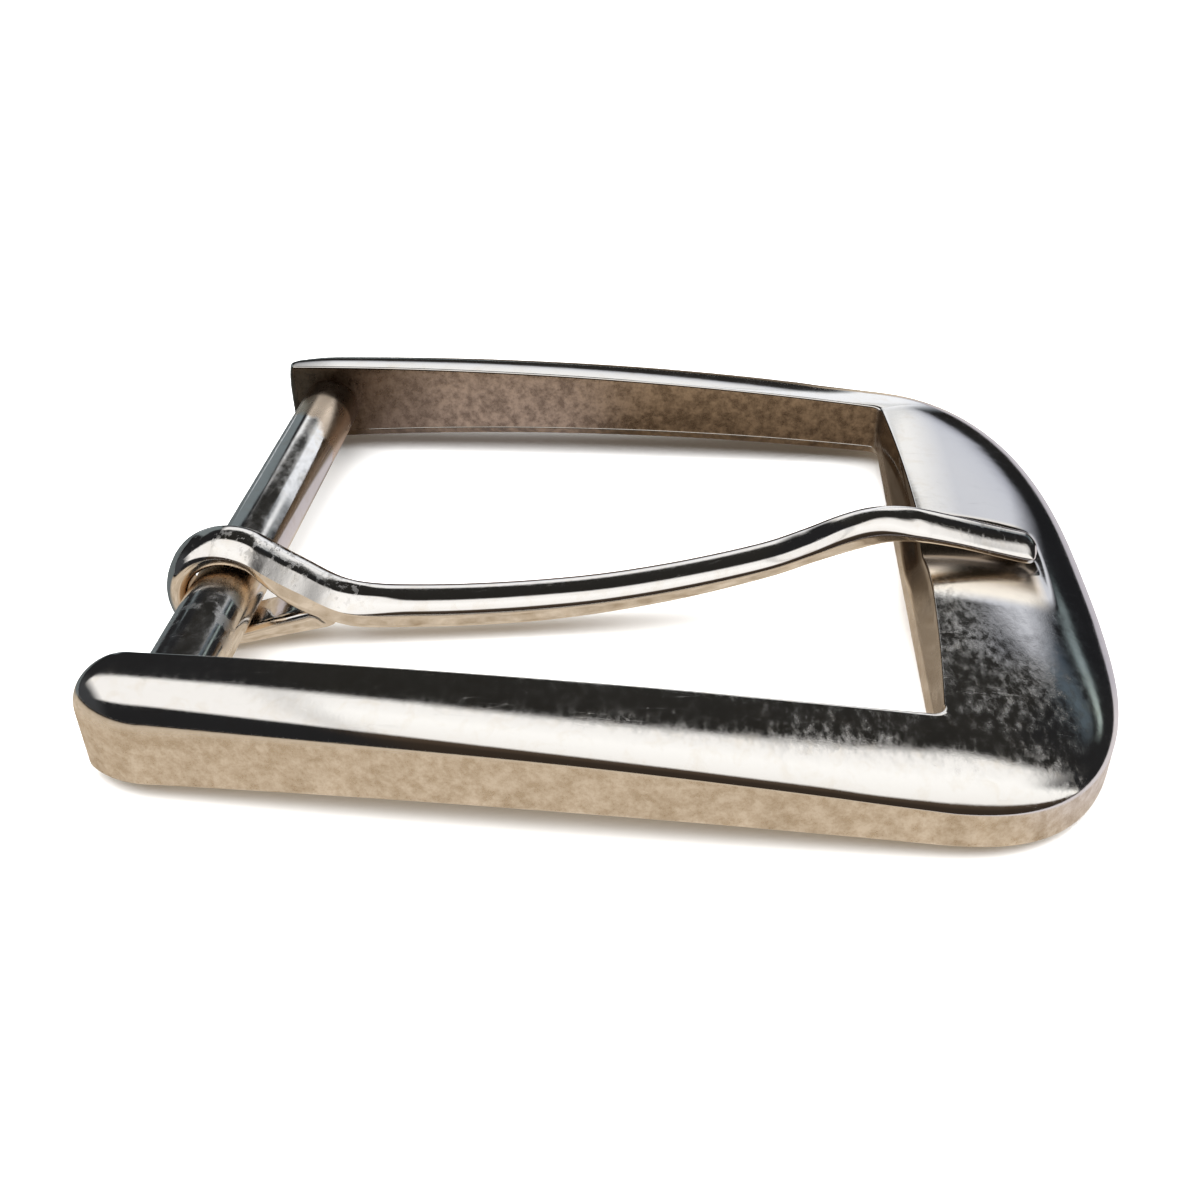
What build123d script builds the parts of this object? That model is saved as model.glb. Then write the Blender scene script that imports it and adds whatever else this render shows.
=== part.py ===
from build123d import *

import os
from math import atan2, cos, degrees, radians, sin

# Heel-bar belt buckle for a 35 mm strap, in millimetres.
#
# The origin is the middle of the crossbar's axis. +X runs from the crossbar to the front bar, +Y runs along
# the crossbar, and +Z points out of the buckle's face.
#
# Three pieces: the cast frame, the round crossbar held in sockets in the frame's two rails, and the prong, a
# strip bent into an eye round the crossbar. The prong is drawn as it lies at rest, slid along the crossbar
# and turned a little, with its tip over the trough in the front bar.

# Driving dimensions
strap_width = 35.0
strap_play = 0.5
window_length = 41.9          # crossbar axis to the front bar, beside the rails
rail_bow_inside = 0.35        # how far each rail's inner wall bows out at mid length
front_bow_inside = 0.4        # the same for the front bar's inner wall
window_corner_radius = 1.1
wall_foot_chamfer = 0.6       # height of the bevel at the foot of the window's walls
wall_foot_inset = 0.3

half_width_middle = 23.25     # outer half width at mid length
half_width_front = 23.5       # outer half width where side and front curves would cross
front_corner_x = 49.5         # where they would cross
front_corner_radius = 9.5
overall_front_x = 53.4
rail_side_x = -1.7            # where a rail's side turns into its rounded end
rail_side_half_width = 21.97
rail_end_inner_x = -3.4       # where the rounded end meets the rail's inner wall

heel_underside_z = -2.72      # frame surfaces beside the crossbar and at the front bar's inner edge
front_underside_z = -2.72
underside_rise = 0.72
heel_face_z = 3.03
front_face_z = 1.04
face_rise = 0.55
face_rounding = 2.1

crossbar_radius = 2.06
socket_depth = 1.5

trough_depth = 1.0            # below the face at the front bar's inner edge
trough_radius = 14.0
trough_length = 9.0
trough_end_radius = 5.0
trough_run_out = 3.0
trough_y = -1.3

prong_y = -7.05               # where the prong's middle stands on the crossbar
prong_yaw = 7.5               # degrees towards +Y
prong_width = 3.3
prong_tip_width = 2.6
prong_length = 50.3
prong_tip_rounding = 1.1
prong_crown_rounding = 0.5
eye_inner_radius = 2.36
eye_outer_radius = 3.78

# Derived
window_half_width = (strap_width + strap_play) / 2
crossbar_half_length = window_half_width + socket_depth


def bowed(x, at_crossbar, at_front, rise):
    """Height at x of a line that arches over the window by rise."""
    share = x / window_length
    return at_crossbar + (at_front - at_crossbar) * share + 4 * rise * share * (1 - share)


def underside(x):
    return bowed(x, heel_underside_z, front_underside_z, underside_rise)


def face(x):
    return bowed(x, heel_face_z, front_face_z, face_rise)


face_slope = degrees(atan2(face(window_length + trough_length) - face(window_length), trough_length))
trough_side = Plane(
    origin=(window_length, trough_y, face(window_length) - trough_depth + trough_radius),
    x_dir=(cos(radians(face_slope)), 0, sin(radians(face_slope))),
    z_dir=(0, -1, 0),
)

# Frame: its plan, cut to its side profile
profile_start_x = -8.0
profile_end_x = 58.0
profile_middle_x = (profile_start_x + profile_end_x) / 2
tall = 20.0
wide = 60.0

with BuildPart() as buckle_frame:
    with BuildSketch(Plane.XY.offset(-tall / 2)):
        with BuildLine():
            far_side = ThreePointArc(
                (rail_side_x, rail_side_half_width),
                (window_length / 2, half_width_middle),
                (front_corner_x, half_width_front),
            )
            ThreePointArc(
                (front_corner_x, half_width_front),
                (overall_front_x, 0),
                (front_corner_x, -half_width_front),
            )
            near_side = ThreePointArc(
                (front_corner_x, -half_width_front),
                (window_length / 2, -half_width_middle),
                (rail_side_x, -rail_side_half_width),
            )
            TangentArc(
                near_side @ 1, (rail_end_inner_x, -window_half_width), tangent=near_side % 1
            )
            ThreePointArc(
                (rail_end_inner_x, -window_half_width),
                (window_length / 2, -window_half_width - rail_bow_inside),
                (window_length, -window_half_width),
            )
            ThreePointArc(
                (window_length, -window_half_width),
                (window_length + front_bow_inside, 0),
                (window_length, window_half_width),
            )
            ThreePointArc(
                (window_length, window_half_width),
                (window_length / 2, window_half_width + rail_bow_inside),
                (rail_end_inner_x, window_half_width),
            )
            TangentArc(
                far_side @ 0, (rail_end_inner_x, window_half_width), tangent=-(far_side % 0)
            )
        make_face()
        fillet(vertices().filter_by(lambda v: v.X > front_corner_x - 1), front_corner_radius)
        fillet(
            vertices().filter_by(
                lambda v: abs(v.X - window_length) < 0.1 and abs(v.Y) < window_half_width + 0.1
            ),
            window_corner_radius,
        )
    extrude(amount=tall)
    with BuildSketch(Plane.XZ):
        with BuildLine():
            low = ThreePointArc(
                (profile_start_x, underside(profile_start_x)),
                (profile_middle_x, underside(profile_middle_x)),
                (profile_end_x, underside(profile_end_x)),
            )
            high = ThreePointArc(
                (profile_start_x, face(profile_start_x)),
                (profile_middle_x, face(profile_middle_x)),
                (profile_end_x, face(profile_end_x)),
            )
            Line(low @ 0, high @ 0)
            Line(low @ 1, high @ 1)
        make_face()
    extrude(amount=wide / 2, both=True, mode=Mode.INTERSECT)

    # Bevel at the foot of the window's walls
    foot = buckle_frame.faces().filter_by(lambda f: f.normal_at().Z < -0.9).sort_by(SortBy.AREA)[-1]
    foot_edges = foot.edges().filter_by(
        lambda e: 0 < e.center().X < window_length + 1 and abs(e.center().Y) < window_half_width + 1
    )
    chamfer(foot_edges, wall_foot_inset, wall_foot_chamfer, reference=foot)

    # Round the face over to the outer walls
    top = buckle_frame.faces().filter_by(lambda f: f.normal_at().Z > 0.9).sort_by(SortBy.AREA)[-1]
    rim = top.edges().filter_by(
        lambda e: e.center().X > front_corner_x - 4
        or abs(e.center().Y) > window_half_width + 1
    )
    fillet(rim, face_rounding)

    # Trough for the prong's tip, a round-bottomed groove that runs along the face and ends in a dish
    with BuildSketch(trough_side):
        with BuildLine():
            Polyline(
                (-trough_run_out, 0),
                (-trough_run_out, -trough_radius),
                (trough_length, -trough_radius),
                (trough_length, 0),
                close=True,
            )
        make_face()
        fillet(vertices().sort_by(Axis.X)[-2:].sort_by(Axis.Y)[0], trough_end_radius)
    revolve(axis=Axis(trough_side.origin, trough_side.x_dir), mode=Mode.SUBTRACT)

    # Blind sockets for the crossbar
    with BuildSketch(Plane.XZ):
        Circle(crossbar_radius)
    extrude(amount=crossbar_half_length, both=True, mode=Mode.SUBTRACT)

# Crossbar
with BuildPart() as crossbar:
    with BuildSketch(Plane.XZ):
        Circle(crossbar_radius)
    extrude(amount=crossbar_half_length, both=True)

# Prong, drawn on its own upright plane through the crossbar's axis: side profile first, then its plan
yaw = radians(prong_yaw)
prong_side = Plane(
    origin=(0, prong_y, 0), x_dir=(cos(yaw), sin(yaw), 0), z_dir=(sin(yaw), -cos(yaw), 0)
)
prong_plan = Plane(origin=(0, prong_y, -10), x_dir=(cos(yaw), sin(yaw), 0), z_dir=(0, 0, 1))


def on_circle(radius, angle):
    return (radius * cos(radians(angle)), radius * sin(radians(angle)))


with BuildPart() as prong:
    with BuildSketch(prong_side):
        with BuildLine():
            # Outer side: up the back of the eye, over it, down the neck and along to the tip
            outer_eye = CenterArc((0, 0), eye_outer_radius, 48, 234)
            crown = Spline(
                outer_eye @ 0,
                (5.4, 0.7),
                (8.1, -0.6),
                (14.5, -1.05),
                (25.7, -0.3),
                (33.3, 1.15),
                (38.6, 3.15),
                (41.4, 3.6),
                (45.5, 2.55),
                (prong_length, 0.85),
                tangents=(outer_eye % 0 * -1, (1, -0.42)),
            )
            # Inner side, back from the tip to the eye
            tip_end = Line(crown @ 1, (prong_length, 0.2))
            belly = Spline(
                tip_end @ 1,
                (46.4, 1.35),
                (41.6, 2.2),
                (37.2, 1.35),
                (28.4, -1.2),
                (19.0, -2.5),
                (9.4, -2.5),
                (6.7, -2.05),
                (4.4, 0.1),
                on_circle(eye_inner_radius, 48),
                tangents=((-1, 0.3), (-cos(radians(42)), sin(radians(42)))),
            )
            inner_eye = CenterArc((0, 0), eye_inner_radius, 48, 234)
            # Tail under the crossbar, its end cut to lie along the neck
            tail_upper = Line(inner_eye @ 1, (5.15, -1.35))
            tail_cut = Line(tail_upper @ 1, (6.3, -2.65))
            Line(tail_cut @ 1, outer_eye @ 1)
        make_face()
    extrude(amount=prong_width / 2, both=True)
    with BuildSketch(prong_plan):
        with BuildLine():
            Polyline(
                (-2 * eye_outer_radius, prong_width / 2),
                (2 * eye_outer_radius, prong_width / 2),
                (prong_length, prong_tip_width / 2),
                (prong_length, -prong_tip_width / 2),
                (2 * eye_outer_radius, -prong_width / 2),
                (-2 * eye_outer_radius, -prong_width / 2),
                close=True,
            )
        strip = make_face()
        fillet(strip.vertices().sort_by(Axis.X)[-2:], prong_tip_rounding)
    extrude(amount=tall, mode=Mode.INTERSECT)

    # Dome the outer side all the way from the tail's end to the tip
    eye_back = prong.faces().filter_by(GeomType.CYLINDER).sort_by(SortBy.AREA)[-1]
    neck_and_body = prong.faces().filter_by(GeomType.EXTRUSION).sort_by(Axis.Z)[-1]
    long_edges = (eye_back.edges() + neck_and_body.edges()).filter_by(
        lambda e: e.length > 2 * prong_width
    )
    fillet(long_edges, prong_crown_rounding)

os.makedirs("parts", exist_ok=True)
buckle_frame.part.label = "buckle_frame"
export_step(buckle_frame.part, "parts/buckle_frame.step")
crossbar.part.label = "crossbar"
export_step(crossbar.part, "parts/crossbar.step")
prong.part.label = "prong"
export_step(prong.part, "parts/prong.step")
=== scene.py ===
import math

import bmesh
import bpy
import numpy as np
from mathutils import Matrix, Vector


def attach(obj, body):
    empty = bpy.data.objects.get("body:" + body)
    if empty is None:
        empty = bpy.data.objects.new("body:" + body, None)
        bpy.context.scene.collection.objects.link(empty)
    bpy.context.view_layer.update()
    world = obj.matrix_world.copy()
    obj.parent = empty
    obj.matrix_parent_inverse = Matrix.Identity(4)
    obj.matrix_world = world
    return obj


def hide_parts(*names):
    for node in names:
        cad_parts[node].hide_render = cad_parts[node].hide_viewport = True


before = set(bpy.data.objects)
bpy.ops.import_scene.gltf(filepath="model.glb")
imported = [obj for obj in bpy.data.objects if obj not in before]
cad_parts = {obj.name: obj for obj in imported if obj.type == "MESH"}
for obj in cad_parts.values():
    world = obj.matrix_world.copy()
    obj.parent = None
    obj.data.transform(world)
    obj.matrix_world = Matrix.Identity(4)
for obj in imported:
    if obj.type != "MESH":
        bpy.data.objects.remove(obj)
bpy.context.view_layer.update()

MM = 0.001

# ---------------------------------------------------------------- shape of the buckle, in millimetres
WINDOW_LENGTH = 41.9          # crossbar axis to the front bar's inner edge
WINDOW_HALF = 17.75           # half the clear width between the rails
RAIL_BOW = 0.35               # how far the rails' inner walls bow out
FRONT_BOW = 0.95              # how far the top of the front bar's inner wall leans out at its middle
FRONT_LEAN_Z = -0.9           # below this height that wall is upright
WINDOW_CORNER = 0.8
WINDOW_CORNER_AT = (41.2, 17.2)
RAIL_END_X = -3.35            # end of the inner wall at the open heel
RAIL_END_CORNER = 0.55        # rounding of the outline there
EDGE_ROUND = 0.14             # tiny rounding along the window's top edge
FOOT_INSET = 0.3              # bevel at the foot of the window's walls
FOOT_HEIGHT = 0.6
OUTER_FOOT_ROUND = 0.14

SIDE_HALF = 22.05             # outer half width beside the crossbar
SIDE_SPREAD = 1.52            # how much wider it is at SIDE_LENGTH
SIDE_BOW = 0.41
SIDE_LENGTH = 41.857
FRONT_START_X = 40.55         # where the side turns into the front curve
FRONT_REACH = 12.85

# The two halves of the frame differ a little. For each: where the rail's side begins to turn in at its free
# end, the turn's radius and angle, the tip's radius and the angle turned by the end face, where the rail's
# full height begins, how square the front corner is, the extra rounding of the window's top edge towards the
# front, how much higher the face stands at the heel and the outer wall at the front, and the ledge at the
# foot of the inner wall
NEAR_HALF = dict(
    start=0.2, radius=6.5, turn=39.0, tip=1.9, tip_turn=126.0, spine=-1.3, power=2.8,
    edge_extra=0.34, lift=0.0, wall_rise=0.35, ledge=0.0,
)
FAR_HALF = dict(
    start=0.7, radius=5.4, turn=45.0, tip=1.2, tip_turn=105.0, spine=-2.6, power=2.66,
    edge_extra=0.0, lift=0.16, wall_rise=0.0, ledge=0.08,
)

UNDERSIDE_Z = -2.78           # beside the crossbar
UNDERSIDE_FRONT_Z = -2.86
UNDERSIDE_RISE = 0.69
HEEL_Z = 3.03                 # the window's top edge beside the crossbar
FRONT_Z = 1.04
FACE_RISE = 0.55
WALL_HEEL = 3.2               # height of the outer wall above the underside
WALL_FRONT = 1.8
WALL_RISE = 0.3

TROUGH_DEPTH = 1.0            # below the face at the window's edge, getting less towards the tip
TROUGH_SHOALING = 0.055
TROUGH_Y = -1.0
TROUGH_NEAR = 5.7             # from its middle line out to the gentle side's lip
TROUGH_FAR = 3.5              # and to the steep side's
TROUGH_LENGTH = 8.3
TROUGH_END = 1.0              # length of its rounded end

BAR_RADIUS = 2.06
BAR_HALF = 19.2

PRONG_Y = -7.05               # where the prong's middle stands on the crossbar
PRONG_YAW = math.radians(7.5)
PRONG_WIDTH = 3.3
PRONG_TIP_WIDTH = 2.6
PRONG_TIP_ROUND = 0.9         # length over which the tip narrows
PRONG_TIP_END = 1.1           # width of its very end
EYE_IN = 2.33
EYE_OUT = 3.78
EYE_FROM, EYE_TO = 282, 48    # the eye's round part, in degrees from the tail to the neck

# Fineness of the frame's mesh
ROWS = 470                    # round half of the window's edge
FACE_POINTS = 56              # across the face
WALL_POINTS = 9               # down the outer wall
EDGE_POINTS = 6               # over the rounding of the window's top edge
UPPER_WALL_POINTS = 6         # down the inner wall, above its bend and below
LOWER_WALL_POINTS = 5
LEFT_OUT = 99                 # added to a distance to keep a place out of a search for the nearest


def arch(u):
    """An arch over the window: 0 at both ends and 1 at the middle."""
    return 4 * u * (1 - u)


def underside(x):
    u = x / WINDOW_LENGTH
    return UNDERSIDE_Z + (UNDERSIDE_FRONT_Z - UNDERSIDE_Z) * u + UNDERSIDE_RISE * arch(u)


def edge_height(x):
    """Height of the window's top edge."""
    u = np.minimum(x / WINDOW_LENGTH, 1.0)
    return HEEL_Z + (FRONT_Z - HEEL_Z) * u + FACE_RISE * arch(u)


def wall_height(x):
    """Height of the outer wall above the underside."""
    u = np.clip(x / WINDOW_LENGTH, -0.1, 1.0)
    return WALL_HEEL + (WALL_FRONT - WALL_HEEL) * u + WALL_RISE * np.clip(arch(u), 0, 1)


def dome_power(x):
    """How boxy the face's dome is: flat-topped at the heel, nearly a plain slope at the front."""
    u = np.clip(x / WINDOW_LENGTH, 0.0, 1.0)
    return 2.55 - 0.85 * u


def ease(t):
    t = np.clip(t, 0.0, 1.0)
    return t * t * (3 - 2 * t)


def lengths(points):
    """Length along a polyline at each of its points."""
    return np.concatenate([[0], np.cumsum(np.linalg.norm(np.diff(points, axis=0), axis=1))])


def resample(points, count, closeness=None):
    """Points spaced evenly by length along a polyline, or closer where the given weight is larger."""
    points = np.asarray(points, float)
    step = np.linalg.norm(np.diff(points, axis=0), axis=1)
    if closeness is not None:
        step = step * (closeness[1:] + closeness[:-1]) / 2
    along = np.concatenate([[0], np.cumsum(step)])
    wanted = np.linspace(0, along[-1], count)
    return np.stack([np.interp(wanted, along, points[:, i]) for i in range(points.shape[1])], 1)


def inner_half_width(x):
    return WINDOW_HALF + RAIL_BOW * arch((x - RAIL_END_X) / (WINDOW_LENGTH - RAIL_END_X))


def outer_half_width(x):
    u = x / SIDE_LENGTH
    return SIDE_HALF + SIDE_SPREAD * u + SIDE_BOW * arch(u)


def window_edge(offset):
    """The window's edge from the middle of the front bar to the heel, moved out by offset, as (x, y)."""
    y = np.linspace(0, WINDOW_HALF - WINDOW_CORNER, 400)
    front = np.stack([WINDOW_LENGTH + FRONT_BOW * (1 - (y / WINDOW_HALF) ** 2) + offset, y], 1)
    corner_x = front[-1, 0] - offset - WINDOW_CORNER
    x = np.linspace(corner_x, RAIL_END_X, 900)
    rail = np.stack([x, inner_half_width(x) + offset], 1)
    centre = np.array([corner_x, rail[0, 1] - offset - WINDOW_CORNER])
    angle = np.linspace(0, math.pi / 2, 90)[1:-1]
    reach = WINDOW_CORNER + offset
    corner = centre + reach * np.stack([np.cos(angle), np.sin(angle)], 1)
    front[:, 1] *= centre[1] / front[-1, 1]
    return np.concatenate([front, corner, rail])


def outline_front_and_side(shape):
    """The outer outline from the middle of the front bar to where the rail's side begins to turn in."""
    angle = np.linspace(0, math.pi / 2, 1200)
    power = 2 / shape["power"]
    x = FRONT_START_X + FRONT_REACH * np.cos(angle) ** power
    y = outer_half_width(FRONT_START_X) * np.sin(angle) ** power
    curve = np.stack([x, y], 1)
    x = np.linspace(FRONT_START_X, shape["start"], 900)[1:]
    side = np.stack([x, outer_half_width(x)], 1)
    return np.concatenate([curve, side])


def outline_rail_end(start, shape):
    """From the side, round the rail's free end, to the inner wall."""
    points = []
    place = np.array(start, float)
    turned = 0.0
    for radius, until in ((shape["radius"], shape["turn"]), (shape["tip"], shape["tip_turn"])):
        normal = np.array([-math.sin(math.radians(turned)), math.cos(math.radians(turned))])
        centre = place - radius * normal
        for a in np.radians(np.linspace(turned, until, 120)):
            points.append(centre + radius * np.array([-math.sin(a), math.cos(a)]))
        place = points[-1]
        turned = until
    heading = math.radians(turned)
    travel = np.array([-math.cos(heading), -math.sin(heading)])
    cut = RAIL_END_CORNER * math.tan((math.pi - heading) / 2)
    wall_y = inner_half_width(np.array(RAIL_END_X))
    reach = (place[1] - wall_y) / -travel[1]
    meet = place + travel * reach
    first = meet - travel * cut
    points += [place + (first - place) * t for t in np.linspace(0, 1, 30)[1:]]
    normal = np.array([-math.sin(heading), math.cos(heading)])
    centre = first - RAIL_END_CORNER * normal
    for a in np.linspace(heading, math.pi, 30)[1:]:
        points.append(centre + RAIL_END_CORNER * np.array([-math.sin(a), math.cos(a)]))
    return np.array(points)


def soft_floor(value, softness):
    """The value where it is above zero, with a rounded turn at zero."""
    h = np.clip(0.5 + value / (2 * softness), 0, 1)
    return value * h + softness * h * (1 - h)


def carve(x, y, z):
    """The face lowered into the trough for the prong's tip."""
    along = x - WINDOW_LENGTH
    side = y - TROUGH_Y
    near = np.clip((np.sqrt(side ** 2 + 0.36) - 0.6) / TROUGH_NEAR, 0, 1)
    across = np.where(side < 0, (1 - near) ** 2, soft_floor(1 - (side / TROUGH_FAR) ** 2, 0.07))
    past = np.maximum(along - (TROUGH_LENGTH - TROUGH_END), 0) / TROUGH_END
    return z - (TROUGH_DEPTH - TROUGH_SHOALING * along) * across * soft_floor(1 - past ** 2, 0.1)


def half_frame(shape):
    """Grids of points for one half of the frame, drawn with y >= 0; the carving happens afterwards."""
    # Spine: the window's top edge moved out by its rounding, close together at the corner
    window = window_edge(EDGE_ROUND)
    stop = np.argmax((window[:, 0] < shape["spine"]) & (window[:, 1] > 10))
    window = window[:stop]
    from_corner = np.hypot(window[:, 0] - WINDOW_CORNER_AT[0], window[:, 1] - WINDOW_CORNER_AT[1])
    closeness = 1 + 14 * np.exp(-(from_corner / 1.3) ** 2) + 1.2 * (window[:, 0] > 41.5)
    spine = resample(window, ROWS, closeness)
    # Outer outline, matched to the spine by stations along both
    outer = outline_front_and_side(shape)
    full = np.concatenate([outer, outline_rail_end(outer[-1], shape)[1:]])
    out_len = lengths(full)

    def at_outline(length):
        return np.stack([np.interp(length, out_len, full[:, i]) for i in range(2)], -1)

    # the outline's length where the ray straight out of the spine's end meets it
    beside_end = out_len[np.argmin(np.abs(full[:, 0] - spine[-1, 0]) + LEFT_OUT * (full[:, 1] < 19.5))]
    stations_spine, stations_out = [], []
    spine_len = lengths(spine)
    front_y = spine[spine[:, 0] > WINDOW_LENGTH][:, 1]
    for y in np.linspace(0, 15.6, 8):
        stations_spine.append(np.interp(y, spine[:, 1][: len(front_y)], spine_len[: len(front_y)]))
        i = np.argmin(np.abs(full[:, 1] - 0.98 * y) + LEFT_OUT * (full[:, 0] < 45))
        stations_out.append(out_len[i])
    for x in np.linspace(39.5, shape["spine"] + 0.001, 12):
        i = np.argmin(np.abs(spine[:, 0] - x) + LEFT_OUT * (spine[:, 1] < 17.3))
        stations_spine.append(spine_len[i])
        i = np.argmin(np.abs(full[:, 0] - x) + LEFT_OUT * (full[:, 1] < 20.3))
        stations_out.append(out_len[i])
    stations_spine[-1] = spine_len[-1]
    stations_out[-1] = beside_end
    smooth = monotone(stations_spine, stations_out)
    outer_rows = at_outline(smooth(spine_len))

    def lift(x):
        return shape["lift"] * np.clip(1 - x / WINDOW_LENGTH, 0, 1)

    share = np.sin(np.linspace(0, math.pi / 2, FACE_POINTS)) ** 0.96
    share[0], share[-1] = 0.0, 1.0

    def dome(start, end):
        """A row across the face from the spine to the outline."""
        xy = start[None] + (end - start)[None] * share[:, None]
        high = edge_height(start[0]) + lift(start[0])
        low = underside(end[0]) + wall_height(end[0])
        low += shape["wall_rise"] * ease(end[0] / 25) * ease((end[1] - 6) / 10)
        m = dome_power(0.5 * (start[0] + end[0]))
        z = low + (high - low) * np.maximum(1 - share ** m, 0) ** (1 / m)
        return np.column_stack([xy, z])

    face_rows = [dome(spine[i], outer_rows[i]) for i in range(ROWS)]
    # The fan round the rail's end, from beside the spine's end to the end of the inner wall
    fan_len = np.linspace(beside_end, out_len[-1], FACE_POINTS)
    end_spine = spine[-1]
    for end in at_outline(fan_len)[1:]:
        face_rows.append(dome(end_spine, end))
    face_rows = np.array(face_rows)
    # the fan's last ray runs along the inner wall, EDGE_ROUND inside it
    last_ray = face_rows[-1].copy()

    # Outer wall: down from the outline to the foot, which is rounded
    wall_rows = []
    for row in face_rows:
        x, y, top = row[-1]
        foot = underside(x)
        straight = np.linspace(top, foot + OUTER_FOOT_ROUND, WALL_POINTS)
        wall_rows.append([(x, y, z) for z in straight])
    wall_rows = np.array(wall_rows)
    normals = normals_away(face_rows[:, -1, :2])
    angle = np.linspace(0, math.pi / 2, 6)[1:]
    inward = OUTER_FOOT_ROUND * (1 - np.cos(angle))
    fall = OUTER_FOOT_ROUND * np.sin(angle)
    foot_rows = np.zeros((len(face_rows), len(angle), 3))
    for k in range(len(angle)):
        xy = face_rows[:, -1, :2] - normals * inward[k]
        foot_rows[:, k, :2] = xy
        foot_rows[:, k, 2] = underside(face_rows[:, -1, 0]) + OUTER_FOOT_ROUND - fall[k]

    # Inner side: rounding over the edge, wall, bevel at the foot
    spine_z = edge_height(spine[:, 0]) + lift(spine[:, 0])
    path = np.concatenate([np.column_stack([spine, spine_z]), last_ray[1:]])
    taper = np.ones(len(path))
    taper[ROWS:] = 1 - ease(np.arange(1, len(last_ray)) / (len(last_ray) - 1))
    towards = -normals_away(path[:, :2])
    towards[ROWS:] = towards[ROWS - 1]
    arc = np.linspace(0, math.pi / 2, EDGE_POINTS)
    inner_rows = []
    for i, point in enumerate(path):
        r = EDGE_ROUND * taper[i]
        if i < ROWS and point[1] > 17.0:
            r += shape["edge_extra"] * ease((point[0] - 26) / 15)
        reach = EDGE_ROUND * taper[i]
        wall_xy = point[:2] + towards[i] * reach
        column = [point[:2] + towards[i] * reach * math.sin(a) for a in arc]
        z_drop = [r * (1 - math.cos(a)) for a in arc]
        foot = underside(point[0])
        inset = FOOT_INSET * taper[i]
        column = [(p[0], p[1], point[2] - d) for p, d in zip(column, z_drop)]
        top = point[2] - r
        low = foot + FOOT_HEIGHT
        lean = FRONT_BOW * max(1 - (point[1] / WINDOW_HALF) ** 2, 0) * (i < ROWS)
        share_low = np.concatenate([
            np.linspace(0, 0.5, UPPER_WALL_POINTS + 1)[1:], np.linspace(0.5, 1, LOWER_WALL_POINTS + 1)[1:],
        ])
        middle = FRONT_LEAN_Z if lean > 0 else (top + low) / 2
        for t in share_low:
            z = top + (middle - top) * 2 * t if t <= 0.5 else middle + (low + 0.05 - middle) * (2 * t - 1)
            column.append((wall_xy[0] - lean * min(2 * t, 1), wall_xy[1], z))
        wall_xy = wall_xy - np.array([lean, 0])
        ledge = shape["ledge"] * (lean == 0) * taper[i]
        for out, drop in ((0.55, 0.0), (0.9, 0.03), (1.0, 0.07)):
            p = wall_xy + towards[i] * ledge * out
            column.append((p[0], p[1], low + 0.04 - drop))
        for t in (0.12, 0.5, 0.88, 1.0):
            p = wall_xy - towards[i] * inset * t
            column.append((p[0], p[1], low - FOOT_HEIGHT * t))
        inner_rows.append(column)
    inner_rows = np.array(inner_rows)
    return face_rows, wall_rows, foot_rows, inner_rows


def monotone(xs, ys):
    """A smooth rising curve through points (Fritsch-Carlson)."""
    xs, ys = np.asarray(xs, float), np.asarray(ys, float)
    h = np.diff(xs)
    d = np.diff(ys) / h
    m = np.concatenate([[d[0]], (d[1:] + d[:-1]) / 2, [d[-1]]])
    for i in range(len(d)):
        a, b = m[i] / d[i], m[i + 1] / d[i]
        s = a * a + b * b
        if s > 9:
            t = 3 / math.sqrt(s)
            m[i], m[i + 1] = t * a * d[i], t * b * d[i]

    def value(x):
        i = np.clip(np.searchsorted(xs, x) - 1, 0, len(h) - 1)
        t = (x - xs[i]) / h[i]
        return (
            (2 * t ** 3 - 3 * t ** 2 + 1) * ys[i] + (t ** 3 - 2 * t ** 2 + t) * h[i] * m[i]
            + (3 * t ** 2 - 2 * t ** 3) * ys[i + 1] + (t ** 3 - t ** 2) * h[i] * m[i + 1]
        )

    return value


def normals_away(xy):
    """Normals, away from the window's middle, of an edge that runs from the front round to the heel."""
    d = np.gradient(xy, axis=0)
    d /= np.maximum(np.linalg.norm(d, axis=1), 1e-9)[:, None]
    return np.column_stack([d[:, 1], -d[:, 0]])


class Builder:
    """Collects grids of vertices and makes one welded mesh from them."""

    def __init__(self):
        self.vertices, self.faces = [], []

    def grid(self, rows, flip=False, close=False):
        rows = np.asarray(rows, float)
        n, m = rows.shape[:2]
        base = len(self.vertices)
        self.vertices.extend(map(tuple, rows.reshape(-1, 3)))
        across = m if close else m - 1
        for i in range(n - 1):
            for j in range(across):
                k = (j + 1) % m
                quad = [base + i * m + j, base + i * m + k, base + (i + 1) * m + k, base + (i + 1) * m + j]
                self.faces.append(quad[::-1] if flip else quad)

    def cap(self, ring, flip=False):
        base = len(self.vertices)
        self.vertices.extend(map(tuple, ring))
        face = list(range(base, base + len(ring)))
        self.faces.append(face[::-1] if flip else face)

    def object(self, name, weld=0.002, sharp=38.0):
        mesh = bpy.data.meshes.new(name)
        mesh.from_pydata([tuple(c * MM for c in v) for v in self.vertices], [], self.faces)
        bm = bmesh.new()
        bm.from_mesh(mesh)
        bmesh.ops.remove_doubles(bm, verts=bm.verts, dist=weld * MM)
        bmesh.ops.dissolve_degenerate(bm, edges=bm.edges, dist=weld * MM * 0.5)
        bmesh.ops.recalc_face_normals(bm, faces=bm.faces)
        bm.to_mesh(mesh)
        bm.free()
        mesh.polygons.foreach_set("use_smooth", [True] * len(mesh.polygons))
        mesh.set_sharp_from_angle(angle=math.radians(sharp))
        obj = bpy.data.objects.new(name, mesh)
        bpy.context.scene.collection.objects.link(obj)
        return obj


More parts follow.
